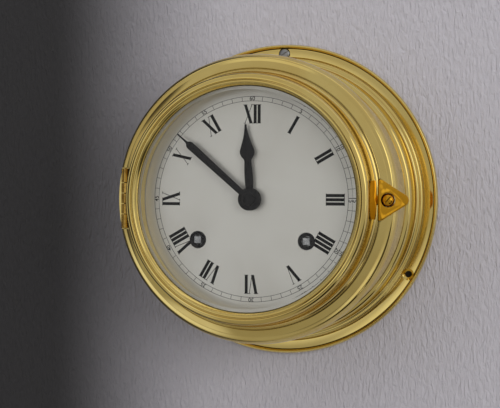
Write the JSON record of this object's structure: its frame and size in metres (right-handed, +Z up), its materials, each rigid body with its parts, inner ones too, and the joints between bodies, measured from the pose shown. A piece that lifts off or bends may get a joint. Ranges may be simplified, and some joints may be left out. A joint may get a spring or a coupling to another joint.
{
  "type": "ship's bell clock",
  "caption": "Wall-mounted polished brass ship's bell clock with a hinged glazed door, silvered dial, black hands and a bell-striking movement inside.",
  "frame": {"origin": "centre of the clock on its flat back, in the plane of the wall", "axes": "+Z up to twelve o'clock, +X to the right of the dial, -Y out of the wall towards the viewer"},
  "size_m": [0.18, 0.1102, 0.18],
  "materials": {
    "polished_brass": "polished and lacquered",
    "satin_brass": "satin turned",
    "worn_brass": "dull, unpolished",
    "silvered_dial": "silvered, with black printed numerals",
    "black_paint": "black semi-gloss",
    "screw_steel": "bright turned steel",
    "blued_steel": "blued spring steel",
    "clear_glass": "clear, bevelled edge"
  },
  "bodies": {
    "case": {"case_drum": "polished_brass", "case_front_ring": "polished_brass", "back_cover": "worn_brass", "back_cover_screw_1": "screw_steel", "back_cover_screw_2": "screw_steel", "back_cover_screw_3": "screw_steel", "wall_screw": "screw_steel", "hinge_case_leaf": "polished_brass", "hinge_pin": "polished_brass", "catch_stud": "polished_brass", "dial_plate": "silvered_dial", "dial_screw_1": "worn_brass", "dial_screw_2": "worn_brass", "dial_screw_3": "worn_brass", "time_winding_bush": "black_paint", "strike_winding_bush": "black_paint", "front_plate": "satin_brass", "back_plate": "satin_brass", "platform_plate": "satin_brass", "balance_cock": "satin_brass", "balance_spring": "blued_steel", "bell": "satin_brass", "bell_post": "screw_steel", "bell_nut": "satin_brass"},
    "door": {"bezel_ring": "polished_brass", "front_glass": "clear_glass", "glass_ring": "satin_brass", "catch_tab": "polished_brass", "hinge_bezel_leaf": "polished_brass"},
    "minute_train": {"minute_hand": "black_paint", "hand_nut": "black_paint", "cannon_pinion": "screw_steel"},
    "hour_train": {"hour_hand": "black_paint", "hour_wheel": "satin_brass"},
    "minute_wheel": {"minute_wheel": "satin_brass"},
    "time_barrel": {"time_barrel": "satin_brass", "time_barrel_cap": "satin_brass", "time_mainspring": "blued_steel"},
    "second_wheel": {"second_wheel": "satin_brass"},
    "centre_wheel": {"centre_wheel": "satin_brass"},
    "third_wheel": {"third_wheel": "satin_brass"},
    "fourth_wheel": {"fourth_wheel": "satin_brass"},
    "escape_wheel": {"escape_wheel": "screw_steel"},
    "pallet_lever": {"pallet_lever": "screw_steel"},
    "balance_wheel": {"balance_wheel": "satin_brass"},
    "time_winder": {"time_winding_arbor": "screw_steel", "time_ratchet": "screw_steel"},
    "time_click": {"time_click": "screw_steel"},
    "strike_barrel": {"strike_barrel": "satin_brass", "strike_barrel_cap": "satin_brass", "strike_mainspring": "blued_steel"},
    "strike_wheel": {"strike_wheel": "satin_brass"},
    "fly": {"fly": "satin_brass"},
    "hammer": {"hammer": "satin_brass"},
    "strike_winder": {"strike_winding_arbor": "screw_steel", "strike_ratchet": "screw_steel"},
    "strike_click": {"strike_click": "screw_steel"}
  },
  "joints": [
    {"name": "door_swing", "type": "hinge", "parent": "case", "child": "door", "pos_m": [-0.0726, -0.0705, 0], "axis": [0, 0, -1], "range_deg": [0, 120]},
    {"name": "minute_hand_turn", "type": "hinge", "parent": "case", "child": "minute_train", "pos_m": [0, -0.07755, 0], "axis": [0, 1, 0], "continuous": true},
    {"name": "hour_hand_turn", "type": "hinge", "parent": "case", "child": "hour_train", "pos_m": [0, -0.07185, 0], "axis": [0, 1, 0], "continuous": true},
    {"name": "minute_wheel_turn", "type": "hinge", "parent": "case", "child": "minute_wheel", "pos_m": [0, -0.068, 0.0168], "axis": [0, 1, 0], "continuous": true},
    {"name": "fourth_wheel_turn", "type": "hinge", "parent": "case", "child": "fourth_wheel", "pos_m": [0.01179, -0.0518, 0.02127], "axis": [0, 1, 0], "continuous": true},
    {"name": "third_wheel_turn", "type": "hinge", "parent": "case", "child": "third_wheel", "pos_m": [-0.00328, -0.0518, 0.01861], "axis": [0, 1, 0], "continuous": true},
    {"name": "centre_wheel_turn", "type": "hinge", "parent": "case", "child": "centre_wheel", "pos_m": [0, -0.05775, 0], "axis": [0, 1, 0], "continuous": true},
    {"name": "second_wheel_turn", "type": "hinge", "parent": "case", "child": "second_wheel", "pos_m": [0.01919, -0.0518, -0.00057], "axis": [0, 1, 0], "continuous": true},
    {"name": "time_barrel_turn", "type": "hinge", "parent": "case", "child": "time_barrel", "pos_m": [0.03, -0.053, -0.022], "axis": [0, 1, 0], "continuous": true},
    {"name": "escape_wheel_turn", "type": "hinge", "parent": "case", "child": "escape_wheel", "pos_m": [0.02348, -0.04945, 0.02802], "axis": [0, 1, 0], "continuous": true},
    {"name": "pallet_lever_rock", "type": "hinge", "parent": "case", "child": "pallet_lever", "pos_m": [0.03005, -0.0356, 0.02563], "axis": [0, 1, 0], "range_deg": [-6, 6]},
    {"name": "balance_swing", "type": "hinge", "parent": "case", "child": "balance_wheel", "pos_m": [0.03757, -0.03285, 0.02289], "axis": [0, 1, 0], "range_deg": [-135, 135], "stiffness_Nm_per_rad": 0.00002},
    {"name": "time_winding_turn", "type": "hinge", "parent": "case", "child": "time_winder", "pos_m": [0.03, -0.05535, -0.022], "axis": [0, 1, 0], "continuous": true},
    {"name": "time_click_lift", "type": "hinge", "parent": "case", "child": "time_click", "pos_m": [0.03996, -0.0665, -0.01364], "axis": [0, -1, 0], "range_deg": [0, 12], "stiffness_Nm_per_rad": 0.0002, "springref_deg": -17.19},
    {"name": "fly_turn", "type": "hinge", "parent": "case", "child": "fly", "pos_m": [-0.02748, -0.0518, 0.02046], "axis": [0, 1, 0], "continuous": true},
    {"name": "strike_wheel_turn", "type": "hinge", "parent": "case", "child": "strike_wheel", "pos_m": [-0.02583, -0.0518, 0.00163], "axis": [0, 1, 0], "continuous": true},
    {"name": "strike_barrel_turn", "type": "hinge", "parent": "case", "child": "strike_barrel", "pos_m": [-0.03, -0.053, -0.022], "axis": [0, 1, 0], "continuous": true},
    {"name": "hammer_swing", "type": "hinge", "parent": "case", "child": "hammer", "pos_m": [-0.0415, -0.04555, 0.0135], "axis": [0, 1, 0], "range_deg": [0, 16], "stiffness_Nm_per_rad": 0.001, "springref_deg": -28.65},
    {"name": "strike_winding_turn", "type": "hinge", "parent": "case", "child": "strike_winder", "pos_m": [-0.03, -0.05535, -0.022], "axis": [0, 1, 0], "continuous": true},
    {"name": "strike_click_lift", "type": "hinge", "parent": "case", "child": "strike_click", "pos_m": [-0.02004, -0.0665, -0.01364], "axis": [0, -1, 0], "range_deg": [0, 12], "stiffness_Nm_per_rad": 0.0002, "springref_deg": -17.19}
  ],
  "couplings": [
    {"joint": "hour_hand_turn", "follows": "minute_hand_turn", "ratio": 0.083333},
    {"joint": "minute_wheel_turn", "follows": "minute_hand_turn", "ratio": -0.33333},
    {"joint": "third_wheel_turn", "follows": "fourth_wheel_turn", "ratio": -0.13333},
    {"joint": "centre_wheel_turn", "follows": "fourth_wheel_turn", "ratio": 0.016667},
    {"joint": "second_wheel_turn", "follows": "fourth_wheel_turn", "ratio": -0.0033333},
    {"joint": "time_barrel_turn", "follows": "fourth_wheel_turn", "ratio": 0.00066667},
    {"joint": "escape_wheel_turn", "follows": "fourth_wheel_turn", "ratio": -8},
    {"joint": "strike_wheel_turn", "follows": "fly_turn", "ratio": -0.125},
    {"joint": "strike_barrel_turn", "follows": "fly_turn", "ratio": 0.025}
  ]
}
